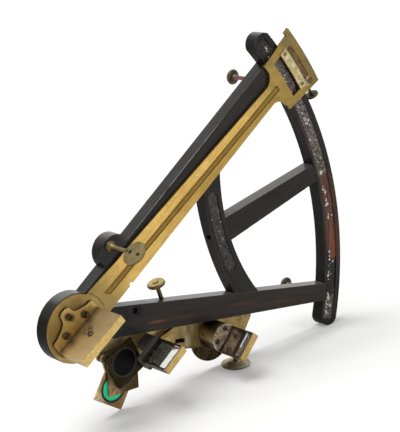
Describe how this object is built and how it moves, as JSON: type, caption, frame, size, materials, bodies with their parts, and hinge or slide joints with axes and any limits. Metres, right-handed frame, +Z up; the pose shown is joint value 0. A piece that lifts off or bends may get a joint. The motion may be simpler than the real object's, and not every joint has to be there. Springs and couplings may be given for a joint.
{
  "type": "octant",
  "caption": "Wooden octant: triangular frame with its arc, pivoting index arm with mirror, pinhole sight, turning horizon mirrors and swinging colour shades, for measuring altitudes.",
  "frame": {"origin": "on the floor under the middle of the standing instrument's box", "axes": "+Z up; the octant's flat front faces -Y; +X runs from the pivot head towards the arc"},
  "size_m": [0.438, 0.1036, 0.3772],
  "materials": {
    "ebony": "worn black ebony, satin",
    "brass": "aged lacquered brass",
    "dark_brass": "dulled olive brass",
    "screw_brass": "worn brass screws",
    "vernier": "pale scraped brass",
    "foot_wood": "turned dark wood",
    "mirror_glass": "old silvered glass",
    "smoke_glass": "dark neutral glass",
    "red_glass": "deep red glass",
    "green_glass": "clear green glass"
  },
  "bodies": {
    "frame": {"mirror_limb": "ebony", "sight_limb": "ebony", "limb_arc": "ebony", "curved_brace": "ebony", "radial_strut": "ebony", "pivot_bush": "brass", "pivot_plate": "brass", "pivot_screws": "screw_brass", "back_feet": "foot_wood", "sight_vane": "brass", "sight_nut": "brass", "base_plate": "brass", "base_screws": "screw_brass", "socket_block": "ebony", "fore_stud": "brass", "back_stud": "brass", "back_post": "brass", "shade_pin": "brass", "shade_spacer": "brass"},
    "arm": {"index_arm": "brass", "pivot_arbor": "brass", "pivot_nut": "brass", "index_case": "dark_brass", "index_glass": "mirror_glass", "bracket_screws": "screw_brass", "case_screw": "screw_brass", "vernier_plate": "vernier", "vernier_screws": "screw_brass", "tangent_lug": "dark_brass", "tangent_rivet": "screw_brass"},
    "tilt_knob": {"tilt_screw": "dark_brass"},
    "tangent_knob": {"tangent_screw": "dark_brass"},
    "fore_mirror": {"fore_block": "ebony", "fore_lever": "brass", "fore_frame": "dark_brass", "fore_glass": "mirror_glass"},
    "fore_knob": {"fore_thumbscrew": "brass"},
    "back_mirror": {"back_turret": "dark_brass", "back_frame": "dark_brass", "back_glass": "mirror_glass", "back_foot_screws": "screw_brass"},
    "back_knob": {"back_thumbscrew": "brass"},
    "front_shade": {"shade_front": "dark_brass", "shade_front_glass": "smoke_glass"},
    "middle_shade": {"shade_middle": "dark_brass", "shade_middle_glass": "red_glass"},
    "rear_shade": {"shade_rear": "dark_brass", "shade_rear_glass": "green_glass"}
  },
  "joints": [
    {"name": "arm_swing", "type": "hinge", "parent": "frame", "child": "arm", "pos_m": [-0.181, 0.00325, 0.1158], "axis": [0, -1, 0], "range_deg": [-42, 4]},
    {"name": "tilt_turn", "type": "hinge", "parent": "arm", "child": "tilt_knob", "pos_m": [-0.19221, -0.00075, 0.13356], "axis": [0, -1, 0], "range_deg": [-180, 180]},
    {"name": "tangent_turn", "type": "hinge", "parent": "arm", "child": "tangent_knob", "pos_m": [0.19254, 0.01125, 0.29173], "axis": [0.4261, 0, -0.9047], "range_deg": [-180, 180]},
    {"name": "fore_turn", "type": "hinge", "parent": "frame", "child": "fore_mirror", "pos_m": [-0.07997, 0.00325, 0.06221], "axis": [0, -1, 0], "range_deg": [-0.8, 0.8]},
    {"name": "fore_screw_turn", "type": "hinge", "parent": "frame", "child": "fore_knob", "pos_m": [-0.056, 0.01415, 0.10863], "axis": [-0.2689, 0, 0.9632], "range_deg": [-300, 300]},
    {"name": "back_turn", "type": "hinge", "parent": "frame", "child": "back_mirror", "pos_m": [0.01354, 0.00325, 0.04351], "axis": [0, -1, 0], "range_deg": [-0.8, 0.8]},
    {"name": "back_screw_turn", "type": "hinge", "parent": "frame", "child": "back_knob", "pos_m": [0.03394, 0.00225, 0.04351], "axis": [0, 0, 1], "range_deg": [-300, 300]},
    {"name": "front_shade_swing", "type": "hinge", "parent": "frame", "child": "front_shade", "pos_m": [-0.14198, 0.00325, 0.06511], "axis": [0, -1, 0], "range_deg": [-100, 3]},
    {"name": "middle_shade_swing", "type": "hinge", "parent": "frame", "child": "middle_shade", "pos_m": [-0.14198, 0.00325, 0.06511], "axis": [0, -1, 0], "range_deg": [-75, 28]},
    {"name": "rear_shade_swing", "type": "hinge", "parent": "frame", "child": "rear_shade", "pos_m": [-0.14198, 0.00325, 0.06511], "axis": [0, -1, 0], "range_deg": [-45, 40]}
  ],
  "couplings": [
    {"joint": "fore_turn", "follows": "fore_screw_turn", "ratio": 0.0026667},
    {"joint": "back_turn", "follows": "back_screw_turn", "ratio": 0.0026667}
  ]
}
